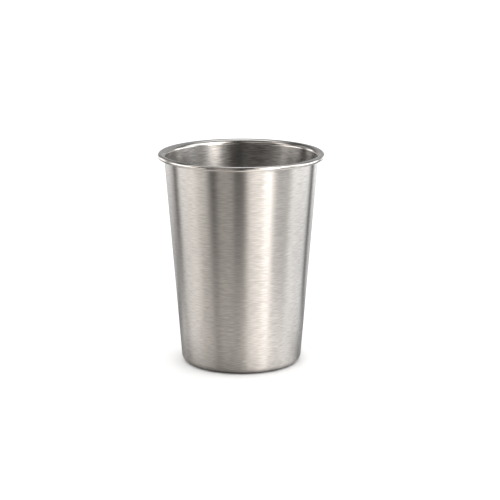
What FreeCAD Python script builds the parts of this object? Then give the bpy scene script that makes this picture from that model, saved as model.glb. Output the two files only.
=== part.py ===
"""Deep drawn steel cup: a 16 fl oz tumbler pressed from one disc of stainless sheet.

The cup is one piece, so it is one solid in one node.  Its section is the sheet's own: a
constant thickness that follows a line of straights and tangent bends, from the lifted panel in
the middle of the base, over the foot, round the heel, up the tapered wall, and out over the
mouth into a rolled rim whose free edge is tucked back against the wall.

Frame: millimetres, +Z up along the cup's axis, origin at the centre of the plane it stands on.
"""

import FreeCAD
import Part

import math
import os

# Driving dimensions, in millimetres and degrees.
RIM_DIAMETER = 89.0  # over the rolled rim
HEIGHT = 114.0  # standing plane to the top of the rim
NECK_DIAMETER = 81.8  # outside of the wall just under the rim
NECK_DEPTH = 3.0  # how far below the top the neck diameter is taken
HEEL_DIAMETER = 64.0  # outside of the wall, carried straight down to the standing plane
SHEET = 0.5  # thickness of the drawn sheet
HEEL_RADIUS = 3.9  # outside radius where the wall turns into the foot
CURL_DIAMETER = 2.7  # height of the rolled rim, over the sheet
CURL_TURN = 265.0  # how far the rim is rolled past the top of the mouth
FOOT_INNER_DIAMETER = 51.0  # inside of the flat ring that the cup stands on
PANEL_LIFT = 1.2  # how far the middle of the base is pressed up off the table
PANEL_BEND = 1.25  # radius of the two bends between foot and panel, at mid-sheet

# Sizes that follow from them.
HALF_SHEET = SHEET / 2
HEEL_WALL_RADIUS = HEEL_DIAMETER / 2
WALL_SLOPE = math.atan2(
    (NECK_DIAMETER - HEEL_DIAMETER) / 2, HEIGHT - NECK_DEPTH
)  # from vertical, radians
RIGHT_ANGLE = math.pi / 2


class SheetLine:
    """The middle line of the bent sheet in the (radius, height) half-plane.

    It is drawn as a pen moves: each straight or bend starts where the last one ended, along the
    same heading.  Angles are in radians, and a positive turn is to the left.
    """

    def __init__(self, radius, height, heading):
        self.at = (radius, height)
        self.heading = heading
        self.runs = []

    def straight(self, length):
        """Draws a straight of that length."""
        radius, height = self.at
        end = (
            radius + length * math.cos(self.heading),
            height + length * math.sin(self.heading),
        )
        self.runs.append(("straight", self.at, end, self.heading))
        self.at = end

    def bend(self, bend_radius, turn):
        """Draws a tangent bend of that radius at mid-sheet."""
        side = math.copysign(1.0, turn)
        to_centre = self.heading + side * RIGHT_ANGLE
        centre = (
            self.at[0] + bend_radius * math.cos(to_centre),
            self.at[1] + bend_radius * math.sin(to_centre),
        )
        first = to_centre + math.pi
        self.runs.append(("bend", centre, bend_radius, first, turn))
        last = first + turn
        self.at = (
            centre[0] + bend_radius * math.cos(last),
            centre[1] + bend_radius * math.sin(last),
        )
        self.heading += turn

    def face(self, side):
        """The edges of the sheet's face: side is +1 for the left of the line, -1 for its right."""
        edges = []
        for run in self.runs:
            if run[0] == "straight":
                _, start, end, heading = run
                shift = (
                    side * HALF_SHEET * math.cos(heading + RIGHT_ANGLE),
                    side * HALF_SHEET * math.sin(heading + RIGHT_ANGLE),
                )
                ends = [
                    section_point(p[0] + shift[0], p[1] + shift[1])
                    for p in (start, end)
                ]
                edges.append(Part.LineSegment(*ends).toShape())
            else:
                _, centre, bend_radius, first, turn = run
                inward = math.copysign(1.0, turn) * side
                face_radius = bend_radius - inward * HALF_SHEET
                points = [
                    section_point(
                        centre[0] + face_radius * math.cos(first + share * turn),
                        centre[1] + face_radius * math.sin(first + share * turn),
                    )
                    for share in (0.0, 0.5, 1.0)
                ]
                edges.append(Part.Arc(*points).toShape())
        return edges

    def section(self):
        """The closed section of the sheet, as a face: both sides and the two ends."""
        left = self.face(1)
        right = self.face(-1)
        on_axis = Part.LineSegment(
            right[0].Vertexes[0].Point, left[0].Vertexes[0].Point
        ).toShape()
        cut_edge = Part.LineSegment(
            left[-1].Vertexes[-1].Point, right[-1].Vertexes[-1].Point
        ).toShape()
        return Part.Face(Part.Wire([on_axis, *left, cut_edge, *reversed(right)]))


def section_point(radius, height):
    """A point of the section, in the XZ plane."""
    return FreeCAD.Vector(radius, 0.0, height)


def heel_centre_radius():
    """How far from the axis the heel's bend is centred, touching both wall and standing plane."""
    return (
        HEEL_WALL_RADIUS
        + HEEL_RADIUS * math.tan(WALL_SLOPE)
        - HEEL_RADIUS / math.cos(WALL_SLOPE)
    )


def curl_centre_radius():
    """How far from the axis the rolled rim is centred."""
    return (RIM_DIAMETER - CURL_DIAMETER) / 2


def mouth_bend_radius():
    """Radius at mid-sheet of the bend that carries the wall out over the mouth.

    The bend is tangent to the wall below and level at the top of the rim, above the middle of
    the curl, so its radius follows from the room between wall and curl.
    """
    room = (
        curl_centre_radius()
        - HEEL_WALL_RADIUS
        - (HEIGHT - HALF_SHEET) * math.tan(WALL_SLOPE)
    )
    return (room * math.cos(WALL_SLOPE) + HALF_SHEET) / (1 - math.sin(WALL_SLOPE))


def draw_base(line):
    """The lifted panel, the two small bends down from it, and the flat foot."""
    half_turn = math.acos(1 - PANEL_LIFT / (2 * PANEL_BEND))
    step_run = 2 * PANEL_BEND * math.sin(half_turn)
    line.straight(FOOT_INNER_DIAMETER / 2 - step_run)
    line.bend(PANEL_BEND, -half_turn)
    line.bend(PANEL_BEND, half_turn)
    line.straight(heel_centre_radius() - line.at[0])


def draw_wall(line):
    """The heel and the tapered wall, up to where the mouth starts to open."""
    line.bend(HEEL_RADIUS - HALF_SHEET, RIGHT_ANGLE - WALL_SLOPE)
    bend_radius = mouth_bend_radius()
    wall_top = HEIGHT - HALF_SHEET - bend_radius * (1 - math.sin(WALL_SLOPE))
    line.straight((wall_top - line.at[1]) / math.cos(WALL_SLOPE))


def draw_rim(line):
    """The bend out over the mouth, and the curl rolled down, in and back up to the wall."""
    line.bend(mouth_bend_radius(), -(RIGHT_ANGLE - WALL_SLOPE))
    line.bend(CURL_DIAMETER / 2 - HALF_SHEET, -math.radians(CURL_TURN))


def make_cup():
    """The cup: the sheet's section turned once round the axis."""
    line = SheetLine(0.0, PANEL_LIFT + HALF_SHEET, 0.0)
    draw_base(line)
    draw_wall(line)
    draw_rim(line)
    axis_point = FreeCAD.Vector(0, 0, 0)
    axis = FreeCAD.Vector(0, 0, 1)
    turned = line.section().revolve(axis_point, axis, 360)
    return Part.Solid(turned) if turned.ShapeType == "Shell" else turned


def main():
    """Builds the cup, says what it measures, and writes its STEP file."""
    cup = make_cup()
    box = cup.optimalBoundingBox()
    print(f"cup: valid {cup.isValid()}, {len(cup.Solids)} solid, {len(cup.Faces)} faces")
    print(f"  {box.XLength:.2f} x {box.YLength:.2f} x {box.ZLength:.2f} mm, z from {box.ZMin:.3f}")
    print(f"  metal {cup.Volume:.0f} mm3, mouth bend {mouth_bend_radius():.3f} mm at mid-sheet")
    os.makedirs("parts", exist_ok=True)
    cup.exportStep("parts/cup.step")


main()
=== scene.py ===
"""Deep drawn steel cup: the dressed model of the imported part, and the stage it is shown on.

The cup is one sheet of steel.  Its shell starts as a disc in the middle of the base and is
drawn outwards and upwards ring by ring along the middle of the sheet: lifted panel, foot, heel,
wall, mouth and rolled rim.  The sheet then gets its thickness, and its inside, outside and rim
get their own finishes.  Sizes are in metres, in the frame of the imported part.
"""

import math

import bmesh
import bpy
from bpy.props import FloatProperty, FloatVectorProperty, IntProperty, PointerProperty
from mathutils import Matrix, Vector


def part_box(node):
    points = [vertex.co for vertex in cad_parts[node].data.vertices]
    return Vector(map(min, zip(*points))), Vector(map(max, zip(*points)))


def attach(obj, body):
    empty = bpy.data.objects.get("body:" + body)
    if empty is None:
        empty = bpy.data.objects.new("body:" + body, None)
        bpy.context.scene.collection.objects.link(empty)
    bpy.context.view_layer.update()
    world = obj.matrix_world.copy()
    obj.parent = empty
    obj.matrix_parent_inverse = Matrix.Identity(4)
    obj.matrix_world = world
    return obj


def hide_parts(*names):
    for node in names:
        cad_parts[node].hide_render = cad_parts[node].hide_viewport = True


bl_info = {
    "name": "Deep Drawn Cup",
    "version": (1, 0, 0),
    "blender": (4, 5, 0),
    "location": "3D View > Sidebar > Cup",
    "description": "Draws a steel cup with a rolled rim and sets the stage for it",
    "category": "Add Mesh",
}

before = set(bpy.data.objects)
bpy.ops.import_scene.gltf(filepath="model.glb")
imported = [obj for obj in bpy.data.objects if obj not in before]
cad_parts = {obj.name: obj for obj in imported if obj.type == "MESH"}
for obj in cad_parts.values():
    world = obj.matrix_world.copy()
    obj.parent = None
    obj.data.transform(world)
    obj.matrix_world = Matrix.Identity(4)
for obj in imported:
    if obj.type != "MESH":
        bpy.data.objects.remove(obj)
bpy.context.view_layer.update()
CUP_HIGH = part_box("cup")[1]
MM = 0.001
RIGHT_ANGLE = math.pi / 2
DEGREES = 180 / math.pi  # in one radian
WHITE = (1.0, 1.0, 1.0, 1.0)

# Brush marks.
BROAD_SHARE = 0.1  # share of the long, broad marks among the fine ones
BROAD_LENGTH = 8  # length of a broad mark, in fine marks
BROAD_WIDTH = 2  # width of a broad mark, in fine marks
MARK_EDGES = (0.3, 0.7)  # where in the noise a mark is fully dark and fully light
MARK_DEPTH = 0.01 * MM
MARK_GLOSS = 0.01  # how much smoother the steel is in its lightest marks than in its darkest
INSIDE_STREAK = 0.75  # colour of the inside's marks, beside the outside's
RIM_STREAK = 0.94  # colour of the rim's marks, beside the rim's steel
UP_AND_DOWN = 0.25  # turn of the shader's grain at which highlights stretch along the wall

# The stage.
TABLE_LIFT = 0.23  # how much the table shines by itself in the open
SHADE_REACH = 9 * MM  # how far round what stands on it the table shines less
SHADE_DEPTH = 1.2  # power of that shade
TENT_MIDDLE = 0.06  # height of the middle of the reflection tent
TENT_EDGE = 0.02  # height at which the tent ends and the card begins
CARD_LINE = ((0.0296, 0.0003), (0.036, 0.0004), (0.07, 0.001))  # the card's rings, from the foot
CARD_PAINTED_SHADOW = 30.5 * MM  # painted shadow of the cup: the card is dark out to here, under the cup
CARD_SHADOW_FADED = 32.5 * MM  # the card's painted shadow has faded and it has its full light from here on
WARM_WHITE = (1.075, 1.0, 0.925, 1.0)  # the room's light where it is warmest
WARMEST_SIDE = -20  # degrees from the camera's side


# ---------------------------------------------------------------------------------------------
# Settings


def length(name, description, default):
    """A length setting of the cup or its stage."""
    return FloatProperty(
        name=name, description=description, default=default, min=0.0, unit="LENGTH"
    )


def share(name, description, default):
    """A setting from 0 to 1."""
    return FloatProperty(
        name=name, description=description, default=default, min=0.0, max=1.0, subtype="FACTOR"
    )


def colour(name, description, default):
    """A colour setting."""
    return FloatVectorProperty(
        name=name, description=description, default=default, min=0.0, max=1.0, subtype="COLOR"
    )


class CupSizes(bpy.types.PropertyGroup):
    """Sizes of the drawn cup."""

    rim_radius: length("Rim Radius", "Axis to the outside of the rolled rim", CUP_HIGH[0])
    height: length("Height", "Standing plane to the top of the rim", CUP_HIGH[2])
    neck_radius: length("Neck Radius", "Axis to the outside of the wall under the rim", 40.9 * MM)
    neck_depth: length("Neck Depth", "Top of the rim down to where the neck is taken", 3 * MM)
    heel_radius: length("Heel Radius", "Axis to the wall's outside, carried to the table", 32 * MM)
    sheet: length("Sheet", "Thickness of the drawn steel", 0.5 * MM)
    heel_bend: length("Heel Bend", "Outside radius from wall to foot", 3.9 * MM)
    curl_height: length("Curl Height", "Height of the rolled rim", 2.7 * MM)
    curl_turn: FloatProperty(
        name="Curl Turn",
        description="How far the rim is rolled past the top of the mouth",
        default=math.radians(265),
        subtype="ANGLE",
    )
    foot_inner_radius: length("Foot Inner Radius", "Inside of the flat foot ring", 25.5 * MM)
    panel_lift: length("Panel Lift", "How far the base panel is off the table", 1.2 * MM)
    panel_bend: length("Panel Bend", "Mid-sheet radius of the bends beside the panel", 1.25 * MM)
    segments: IntProperty(
        name="Segments", description="Edges in each ring round the cup", default=256, min=32
    )


class SteelFinish(bpy.types.PropertyGroup):
    """The brushed steel and its rolled rim."""

    steel: colour("Steel", "Colour of the steel between the brush marks", (0.74, 0.728, 0.715))
    streak: colour("Streak", "Colour in the brush marks", (0.56, 0.552, 0.54))
    rim_steel: colour("Rim Steel", "Colour of the rolled rim", (0.77, 0.756, 0.74))
    wall_roughness: share("Wall Roughness", "Roughness of the brushed wall outside", 0.285)
    inside_roughness: share("Inside Roughness", "Roughness of the brushed inside", 0.32)
    rim_roughness: share("Rim Roughness", "Roughness of the rolled rim", 0.2)
    grain: share("Grain", "How strongly the brushing stretches highlights", 1.0)
    mark_length: length("Mark Length", "Length of a brush mark round the cup", 4.5 * MM)
    mark_width: length("Mark Width", "Width of a brush mark", 0.3 * MM)


class StudioSettings(bpy.types.PropertyGroup):
    """The table, the panels that the steel reflects, and the camera."""

    camera_distance: length("Camera Distance", "Camera to the middle of the cup", 1.0)
    camera_elevation: FloatProperty(
        name="Camera Elevation",
        description="Angle of the camera above the horizon",
        default=math.radians(13.32),
        subtype="ANGLE",
    )
    camera_lens: FloatProperty(
        name="Camera Lens", description="Focal length in millimetres", default=133.6, min=1.0
    )
    aim_right: length("Aim Right", "How far right of the cup's middle it looks", 4.7 * MM)
    aim_up: length("Aim Up", "How far above the cup's middle it looks", 3.5 * MM)
    tent_radius: length("Tent Radius", "Axis to the reflection tent", 0.6)
    table_size: length("Table Size", "Length of the table's sides", 12.0)


# ---------------------------------------------------------------------------------------------
# Shape


class SheetPen:
    """Walks the middle of the sheet through the half-plane of radius and height.

    Each straight or bend goes on from where the last one ended, along the same heading, and
    leaves the rings that the shell is drawn through.
    """

    loop_gap = 0.15 * MM  # from a bend to the edge loop that keeps its straight flat

    def __init__(self, radius, height):
        self.rings = [(radius, height)]
        self.heading = 0.0

    def step(self, run, rise):
        """Adds a ring that far from the last one."""
        radius, height = self.rings[-1]
        self.rings.append((radius + run, height + rise))

    def straight(self, run_length):
        """Goes straight on, with an edge loop beside the bend at each end."""
        for part in (self.loop_gap, run_length - 2 * self.loop_gap, self.loop_gap):
            self.step(part * math.cos(self.heading), part * math.sin(self.heading))

    def bend(self, radius, turn, steps):
        """Goes round a bend of that radius; a positive turn is to the left."""
        side = math.copysign(1.0, turn)
        for _ in range(steps):
            chord = 2 * radius * math.sin(abs(turn) / steps / 2)
            self.heading += turn / steps / 2
            self.step(chord * math.cos(self.heading), chord * math.sin(self.heading))
            self.heading += turn / steps / 2


def draw_middle_line(sizes):
    """The rings along the middle of the sheet, from the base panel to the edge of the rim."""
    half_sheet = sizes.sheet / 2
    slope = math.atan2(sizes.neck_radius - sizes.heel_radius, sizes.height - sizes.neck_depth)
    heel_centre = (
        sizes.heel_radius + sizes.heel_bend * (math.tan(slope) - 1 / math.cos(slope))
    )
    room = (
        sizes.rim_radius
        - sizes.curl_height / 2
        - sizes.heel_radius
        - (sizes.height - half_sheet) * math.tan(slope)
    )
    mouth_bend = (room * math.cos(slope) + half_sheet) / (1 - math.sin(slope))
    half_turn = math.acos(1 - sizes.panel_lift / (2 * sizes.panel_bend))
    step_run = 2 * sizes.panel_bend * math.sin(half_turn)

    flat_run = 4 * MM
    pen = SheetPen(
        sizes.foot_inner_radius - step_run - flat_run, sizes.panel_lift + half_sheet
    )
    pen.straight(flat_run)
    pen.bend(sizes.panel_bend, -half_turn, steps=8)
    pen.bend(sizes.panel_bend, half_turn, steps=8)
    pen.straight(heel_centre - pen.rings[-1][0])
    pen.bend(sizes.heel_bend - half_sheet, RIGHT_ANGLE - slope, steps=18)
    wall_top = sizes.height - half_sheet - mouth_bend * (1 - math.sin(slope))
    pen.straight((wall_top - pen.rings[-1][1]) / math.cos(slope))
    pen.bend(mouth_bend, slope - RIGHT_ANGLE, steps=18)
    pen.bend(sizes.curl_height / 2 - half_sheet, -sizes.curl_turn, steps=44)
    return pen.rings


def start_edit(name):
    """Names the new primitive, puts its place into its mesh, and goes into edit mode."""
    piece = bpy.context.object
    piece.name = piece.data.name = name
    bpy.ops.object.transform_apply(location=True, rotation=True, scale=True)
    bpy.ops.object.mode_set(mode="EDIT")
    return piece


def draw_out(rings):
    """Extrudes the selected ring through the others, one after the other."""
    for (radius, height), (next_radius, next_height) in zip(rings, rings[1:]):
        growth = next_radius / radius
        bpy.ops.mesh.extrude_edges_indiv()
        bpy.ops.transform.resize(value=(growth, growth, 1), center_override=(0, 0, 0))
        bpy.ops.transform.translate(value=(0, 0, next_height - height))


def select_faces(piece, wanted):
    """Selects the faces whose middle is wanted, in edit mode."""
    bpy.ops.mesh.select_mode(type="FACE")
    bpy.ops.mesh.select_all(action="DESELECT")
    mesh = bmesh.from_edit_mesh(piece.data)
    for face in mesh.faces:
        face.select_set(wanted(face.calc_center_median()))
    bmesh.update_edit_mesh(piece.data)


# ---------------------------------------------------------------------------------------------
# Materials


class Number:
    """A number in a shader.  Python's operators on it add Math nodes."""

    def __init__(self, shader, socket):
        self.shader = shader
        self.socket = socket

    def maths(self, operation, *values):
        """The result of a Math node."""
        return self.shader.node(
            "ShaderNodeMath", {"operation": operation}, dict(enumerate(values))
        )

    def __add__(self, other):
        return self.maths("ADD", self, other)

    def __sub__(self, other):
        return self.maths("SUBTRACT", self, other)

    def __rsub__(self, other):
        return self.maths("SUBTRACT", other, self)

    def __mul__(self, other):
        return self.maths("MULTIPLY", self, other)

    def __truediv__(self, other):
        return self.maths("DIVIDE", self, other)

    def __pow__(self, other):
        return self.maths("POWER", self, other)

    __radd__ = __add__
    __rmul__ = __mul__


class Shader:
    """The node tree of a new material or of the world."""

    def __init__(self, owner):
        self.owner = owner
        owner.use_nodes = True
        self.tree = owner.node_tree
        self.tree.nodes.clear()

    def node(self, kind, settings=None, inputs=None, output=0):
        """Adds a node: first its settings, then the values or links of its inputs."""
        node = self.tree.nodes.new(kind)
        for name, value in (settings or {}).items():
            setattr(node, name, value)
        for name, value in (inputs or {}).items():
            if isinstance(value, Number):
                self.tree.links.new(value.socket, node.inputs[name])
            else:
                node.inputs[name].default_value = value
        if not len(node.outputs):
            return None
        return Number(self, node.outputs[output])

    def blend(self, part, first, last):
        """The colour that part of the way from the first to the last."""
        return self.node(
            "ShaderNodeMix", {"data_type": "RGBA"}, {0: part, 6: first, 7: last}, output=2
        )

    def axes(self, vector):
        """The three numbers of a vector."""
        split = self.node("ShaderNodeSeparateXYZ", inputs={0: vector})
        outputs = split.socket.node.outputs
        return [Number(self, outputs[axis]) for axis in "XYZ"]


def brush_marks(shader, mark_length, mark_width):
    """Noise drawn out round the axis, in marks of that length and width, from 0 to 1.

    It is read on a narrow cylinder round the axis, so it has no seam, and along the section of
    the sheet, so it follows the wall up and the base outwards.
    """
    place = shader.node("ShaderNodeTexCoord", output="Object")
    x, y, z = shader.axes(place)
    radius = (x * x + y * y) ** 0.5
    around = CUP_HIGH[0] / mark_length
    mark_place = shader.node(
        "ShaderNodeCombineXYZ",
        inputs={
            "X": x / radius * around,
            "Y": y / radius * around,
            "Z": (radius + z) * (1 / mark_width),
        },
    )
    return shader.node(
        "ShaderNodeTexNoise",
        {"noise_dimensions": "3D"},
        {"Vector": mark_place, "Scale": 1.0, "Detail": 0.0},
        output="Fac",
    )


def steel(name, finish, light, dark, roughness, grain):
    """Brushed steel, in its lighter colour and in the darker one of its brush marks."""
    shader = Shader(bpy.data.materials.new(name))
    fine = brush_marks(shader, finish.mark_length, finish.mark_width)
    broad = brush_marks(
        shader, finish.mark_length * BROAD_LENGTH, finish.mark_width * BROAD_WIDTH
    )
    mark = fine * (1 - BROAD_SHARE) + broad * BROAD_SHARE
    tone = shader.node(
        "ShaderNodeMapRange",
        inputs={"Value": mark, "From Min": MARK_EDGES[0], "From Max": MARK_EDGES[1]},
    )
    relief = shader.node(
        "ShaderNodeBump", inputs={"Height": mark, "Strength": 1.0, "Distance": MARK_DEPTH}
    )
    metal = shader.node(
        "ShaderNodeBsdfPrincipled",
        inputs={
            "Base Color": shader.blend(tone, (*dark, 1.0), (*light, 1.0)),
            "Metallic": 1.0,
            "Roughness": roughness + (0.5 - tone) * MARK_GLOSS,
            "Anisotropic": grain,
            "Anisotropic Rotation": UP_AND_DOWN,
            "Normal": relief,
        },
    )
    shader.node("ShaderNodeOutputMaterial", inputs={"Surface": metal})
    return shader.owner


# The lit panels that the steel reflects, all on the tent and the card round the cup.  A panel has
# two angles in degrees, seen from the middle of the tent: how far round it is from the camera's
# side, towards +X, and how far up from level.  Each angle is given as the panel's middle, half
# its size, and how far its edge fades to both sides.  The last number is its light.
PANELS = {
    "left low": ((-79, 30, 8), (0, 6, 8), 2.2),
    "left mid": ((-88, 18, 8), (14, 8, 6), 2.1),
    "left top": ((-78, 13, 12), (46, 12, 12), 1.5),
    "key low": ((27, 19, 7), (0, 6, 8), 3.1),
    "key mid": ((44, 9, 8), (14, 8, 8), 6.0),
    "key top": ((46, 18, 14), (45, 14, 14), 3.0),
    "right fill": ((66, 11, 8), (2, 6, 8), 1.8),
    "right": ((101, 23, 8), (6, 11, 8), 2.8),
    "ceiling": ((78, 24, 12), (38, 14, 12), 1.8),
    "back low": ((150, 13, 7), (0, 5, 6), 2.3),
    "back left low": ((-140, 22, 8), (0, 6, 6), 1.4),
    "back left mid": ((-134, 10, 6), (14, 7, 6), 1.8),
    "back left high": ((-126, 18, 12), (34, 10, 10), 0.4),
    "back high": ((155, 30, 15), (30, 25, 15), 0.4),
    "back top": ((180, 60, 30), (74, 14, 10), 1.5),
    "back left": ((-165, 12, 10), (20, 15, 12), 0.3),
    "front": ((-23, 12, 6), (0, 6, 8), 1.1),
    "front top": ((-28, 24, 12), (45, 16, 12), 0.4),
    # The floor panels are painted reflections of the table, lit on the card that the steel sees in
    # its place.
    "floor": ((0, 138, 15), (-48, 33, 8), 0.25),
    "floor back": ((180, 42, 15), (-48, 33, 8), 0.13),
    "floor near": ((5, 95, 30), (-34, 18, 10), 0.3),
    "floor front": ((38, 34, 20), (-42, 20, 12), 0.6),
    "floor key": ((28, 15, 10), (-13, 6, 6), 0.7),
    "floor side": ((100, 24, 12), (-26, 14, 8), 0.5),
    "floor left": ((-92, 26, 12), (-28, 16, 8), 0.4),
    "floor far": ((148, 13, 8), (-16, 8, 5), 0.5),
    "floor far left": ((-150, 14, 8), (-16, 8, 5), 0.4),
    "rim right": ((172, 7, 4), (3, 5, 4), 1.3),
    "rim left": ((-172, 7, 4), (3, 5, 4), 1.2),
}


def window(shader, off_middle, half, fade):
    """1 within half of a panel's middle, fading to 0 beyond its edge."""
    return shader.node(
        "ShaderNodeMapRange",
        {"interpolation_type": "SMOOTHSTEP"},
        {"Value": off_middle, "From Min": half + fade, "From Max": half - fade},
    )


def lit_cloth(name, painted_shadow_radius=0.0, unshadowed_radius=0.0):
    """A cloth that shines by itself where the panels are, a little warmer on the camera's side.

    Out to painted_shadow_radius it is dark, a painted shadow of the cup that stands over it,
    and from unshadowed_radius on it has its full light.
    """
    shader = Shader(bpy.data.materials.new(name))
    place = shader.node("ShaderNodeTexCoord", output="Object")
    x, y, z = shader.axes(place)
    radius = (x * x + y * y) ** 0.5
    turn = x.maths("ARCTAN2", x, 0.0 - y) * DEGREES
    rise = x.maths("ARCTAN2", z - TENT_MIDDLE, radius) * DEGREES
    light = 0.0
    for (side, half_width, side_fade), (up, half_height, up_fade), level in PANELS.values():
        beside = turn.maths("PINGPONG", turn - side, 180.0)
        above = rise.maths("ABSOLUTE", rise - up)
        across = window(shader, beside, half_width, side_fade)
        upright = window(shader, above, half_height, up_fade)
        light = light + across * upright * level
    # Painted shadow of the cup on the card: dark under the heel, fading to full light beyond it.
    if unshadowed_radius:
        light = light * shader.node(
            "ShaderNodeMapRange",
            inputs={"Value": radius, "From Min": painted_shadow_radius, "From Max": unshadowed_radius},
        )
    near_warmest = turn.maths("COSINE", (turn - WARMEST_SIDE) * (1 / DEGREES)) * 0.5 + 0.5
    glow = shader.node(
        "ShaderNodeVectorMath",
        {"operation": "SCALE"},
        {0: shader.blend(near_warmest, WHITE, WARM_WHITE), "Scale": light},
    )
    cloth = shader.node("ShaderNodeEmission", inputs={"Color": glow})
    shader.node("ShaderNodeOutputMaterial", inputs={"Surface": cloth})
    shader.owner.cycles.emission_sampling = "NONE"
    return shader.owner


def table_white():
    """The white table.  It shines a little, except close to what stands on it."""
    shader = Shader(bpy.data.materials.new("table_white"))
    paper = shader.node("ShaderNodeBsdfDiffuse", inputs={"Color": WHITE})
    path = shader.node("ShaderNodeLightPath", output="Is Camera Ray")
    outputs = path.socket.node.outputs
    seen = path
    for ray in ("Is Glossy Ray", "Is Transmission Ray"):
        seen = seen + Number(shader, outputs[ray])
    open_sky = shader.node(
        "ShaderNodeAmbientOcclusion", {"samples": 16}, {"Distance": SHADE_REACH}, output="AO"
    )
    lift = shader.node(
        "ShaderNodeEmission", inputs={"Color": seen * open_sky**SHADE_DEPTH * TABLE_LIFT}
    )
    both = shader.node("ShaderNodeAddShader", inputs={0: paper, 1: lift})
    shader.node("ShaderNodeOutputMaterial", inputs={"Surface": both})
    return shader.owner


# ---------------------------------------------------------------------------------------------
# Operators


class CUP_OT_draw_shell(bpy.types.Operator):
    """Draws the cup's shell, from the middle of its base to the free edge of its rolled rim"""

    bl_idname = "cup.draw_shell"
    bl_label = "Draw the Cup"

    def execute(self, context):
        sizes = context.scene.cup_sizes
        finish = context.scene.cup_finish
        rings = draw_middle_line(sizes)
        bpy.ops.object.select_all(action="DESELECT")
        bpy.ops.mesh.primitive_circle_add(
            vertices=sizes.segments,
            radius=rings[0][0],
            fill_type="TRIFAN",
            location=(0, 0, rings[0][1]),
        )
        shell = start_edit("cup_shell")
        bpy.ops.mesh.select_mode(type="EDGE")
        bpy.ops.mesh.select_all(action="SELECT")
        bpy.ops.mesh.region_to_loop()
        draw_out(rings)
        bpy.ops.mesh.select_all(action="SELECT")
        bpy.ops.mesh.flip_normals()
        select_faces(shell, lambda middle: middle.z > sizes.height - sizes.curl_height)
        outside = (finish.steel, finish.streak, finish.wall_roughness, finish.grain)
        inside_streak = [INSIDE_STREAK * part for part in finish.streak]
        inside = (finish.steel, inside_streak, finish.inside_roughness, finish.grain)
        rim_streak = [RIM_STREAK * part for part in finish.rim_steel]
        rim = (finish.rim_steel, rim_streak, finish.rim_roughness, 0.0)
        for name, look in (
            ("brushed_outside", outside),
            ("brushed_inside", inside),
            ("rolled_rim", rim),
        ):
            shell.data.materials.append(steel(name, finish, *look))
        shell.active_material_index = 2
        bpy.ops.object.material_slot_assign()
        bpy.ops.object.mode_set(mode="OBJECT")
        if len(shell.data.vertices) != len(rings) * sizes.segments + 1:
            raise RuntimeError("The shell was not drawn through all of its rings")
        thickness = shell.modifiers.new("sheet", "SOLIDIFY")
        thickness.thickness = sizes.sheet
        thickness.offset = 0.0
        thickness.use_even_offset = True
        thickness.material_offset = 1
        bpy.ops.object.modifier_apply(modifier=thickness.name)
        bpy.ops.object.shade_smooth_by_angle(angle=math.radians(30))
        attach(shell, "root")
        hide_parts("cup")
        return {"FINISHED"}


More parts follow.
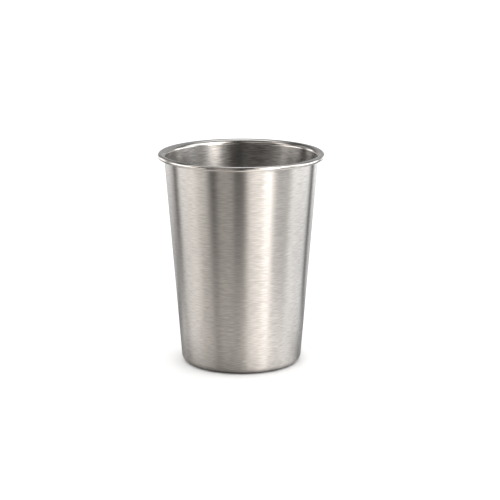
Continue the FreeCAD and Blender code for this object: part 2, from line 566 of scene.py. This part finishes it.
class CUP_OT_set_stage(bpy.types.Operator):
    """Sets the table, the reflection tent, the light and the camera"""

    bl_idname = "cup.set_stage"
    bl_label = "Set the Stage"

    def execute(self, context):
        studio = context.scene.cup_studio
        self.lay_table(studio)
        self.hang_tent(studio)
        self.light_room(context.scene)
        self.place_camera(context.scene, studio)
        return {"FINISHED"}

    def lay_table(self, studio):
        """The white table that the cup stands on."""
        bpy.ops.object.select_all(action="DESELECT")
        bpy.ops.mesh.primitive_plane_add(size=studio.table_size)
        table = bpy.context.object
        table.name = "table"
        table.data.materials.append(table_white())

    def hang_tent(self, studio):
        """The cloth and the card round the cup, which show in the steel and nowhere else."""
        bpy.ops.object.select_all(action="DESELECT")
        bpy.ops.mesh.primitive_circle_add(
            vertices=128, radius=CARD_LINE[0][0], location=(0, 0, CARD_LINE[0][1])
        )
        card = start_edit("table_card")
        bpy.ops.mesh.select_all(action="SELECT")
        draw_out((*CARD_LINE, (studio.tent_radius, TENT_EDGE)))
        bpy.ops.object.mode_set(mode="OBJECT")
        card.data.materials.append(lit_cloth("card_cloth", CARD_PAINTED_SHADOW, CARD_SHADOW_FADED))
        bpy.ops.object.select_all(action="DESELECT")
        bpy.ops.mesh.primitive_uv_sphere_add(
            segments=96, ring_count=48, radius=studio.tent_radius, location=(0, 0, TENT_MIDDLE)
        )
        tent = start_edit("light_tent")
        bpy.ops.mesh.select_all(action="SELECT")
        bpy.ops.mesh.bisect(
            plane_co=(0, 0, TENT_EDGE), plane_no=(0, 0, 1), clear_inner=True
        )
        bpy.ops.object.mode_set(mode="OBJECT")
        tent.data.materials.append(lit_cloth("tent_cloth"))
        for cloth in (card, tent):
            for ray in ("camera", "diffuse", "transmission", "volume_scatter", "shadow"):
                setattr(cloth, "visible_" + ray, False)

    def light_room(self, scene):
        """White light from all round."""
        world = bpy.data.worlds.new("white_room")
        scene.world = world
        shader = Shader(world)
        light = shader.node("ShaderNodeBackground", inputs={"Color": WHITE, "Strength": 1.0})
        shader.node("ShaderNodeOutputWorld", inputs={"Surface": light})

    def place_camera(self, scene, studio):
        """The camera, which looks a little to the right of the cup's middle and above it."""
        lens = bpy.data.cameras.new("camera")
        lens.lens = studio.camera_lens
        lens.sensor_width = 36.0
        camera = bpy.data.objects.new("camera", lens)
        scene.collection.objects.link(camera)
        scene.camera = camera
        middle = Vector((0, 0, CUP_HIGH[2] / 2))
        up = studio.camera_elevation
        back = Vector((0, -math.cos(up), math.sin(up)))
        top = Vector((0, math.sin(up), math.cos(up)))
        right = Vector((1, 0, 0))
        camera.location = middle + back * studio.camera_distance
        aim = middle + right * studio.aim_right + top * studio.aim_up
        look = aim - camera.location
        camera.rotation_euler = look.to_track_quat("-Z", "Y").to_euler()
        scene.view_settings.view_transform = "Standard"


class CUP_PT_panel(bpy.types.Panel):
    """The cup's settings and steps"""

    bl_idname = "CUP_PT_panel"
    bl_label = "Deep Drawn Cup"
    bl_space_type = "VIEW_3D"
    bl_region_type = "UI"
    bl_category = "Cup"

    def draw(self, context):
        for title, settings, step in (
            ("Sizes", context.scene.cup_sizes, None),
            ("Finish", context.scene.cup_finish, CUP_OT_draw_shell),
            ("Stage", context.scene.cup_studio, CUP_OT_set_stage),
        ):
            box = self.layout.box()
            box.label(text=title)
            for name in type(settings).__annotations__:
                box.prop(settings, name)
            if step:
                box.operator(step.bl_idname)


CLASSES = (
    CupSizes,
    SteelFinish,
    StudioSettings,
    CUP_OT_draw_shell,
    CUP_OT_set_stage,
    CUP_PT_panel,
)


def register():
    for item in CLASSES:
        bpy.utils.register_class(item)
    bpy.types.Scene.cup_sizes = PointerProperty(type=CupSizes)
    bpy.types.Scene.cup_finish = PointerProperty(type=SteelFinish)
    bpy.types.Scene.cup_studio = PointerProperty(type=StudioSettings)


def unregister():
    del bpy.types.Scene.cup_studio
    del bpy.types.Scene.cup_finish
    del bpy.types.Scene.cup_sizes
    for item in reversed(CLASSES):
        bpy.utils.unregister_class(item)


def main():
    """Draws the cup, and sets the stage."""
    register()
    bpy.ops.cup.draw_shell()
    bpy.ops.cup.set_stage()


if __name__ == "__main__":
    main()
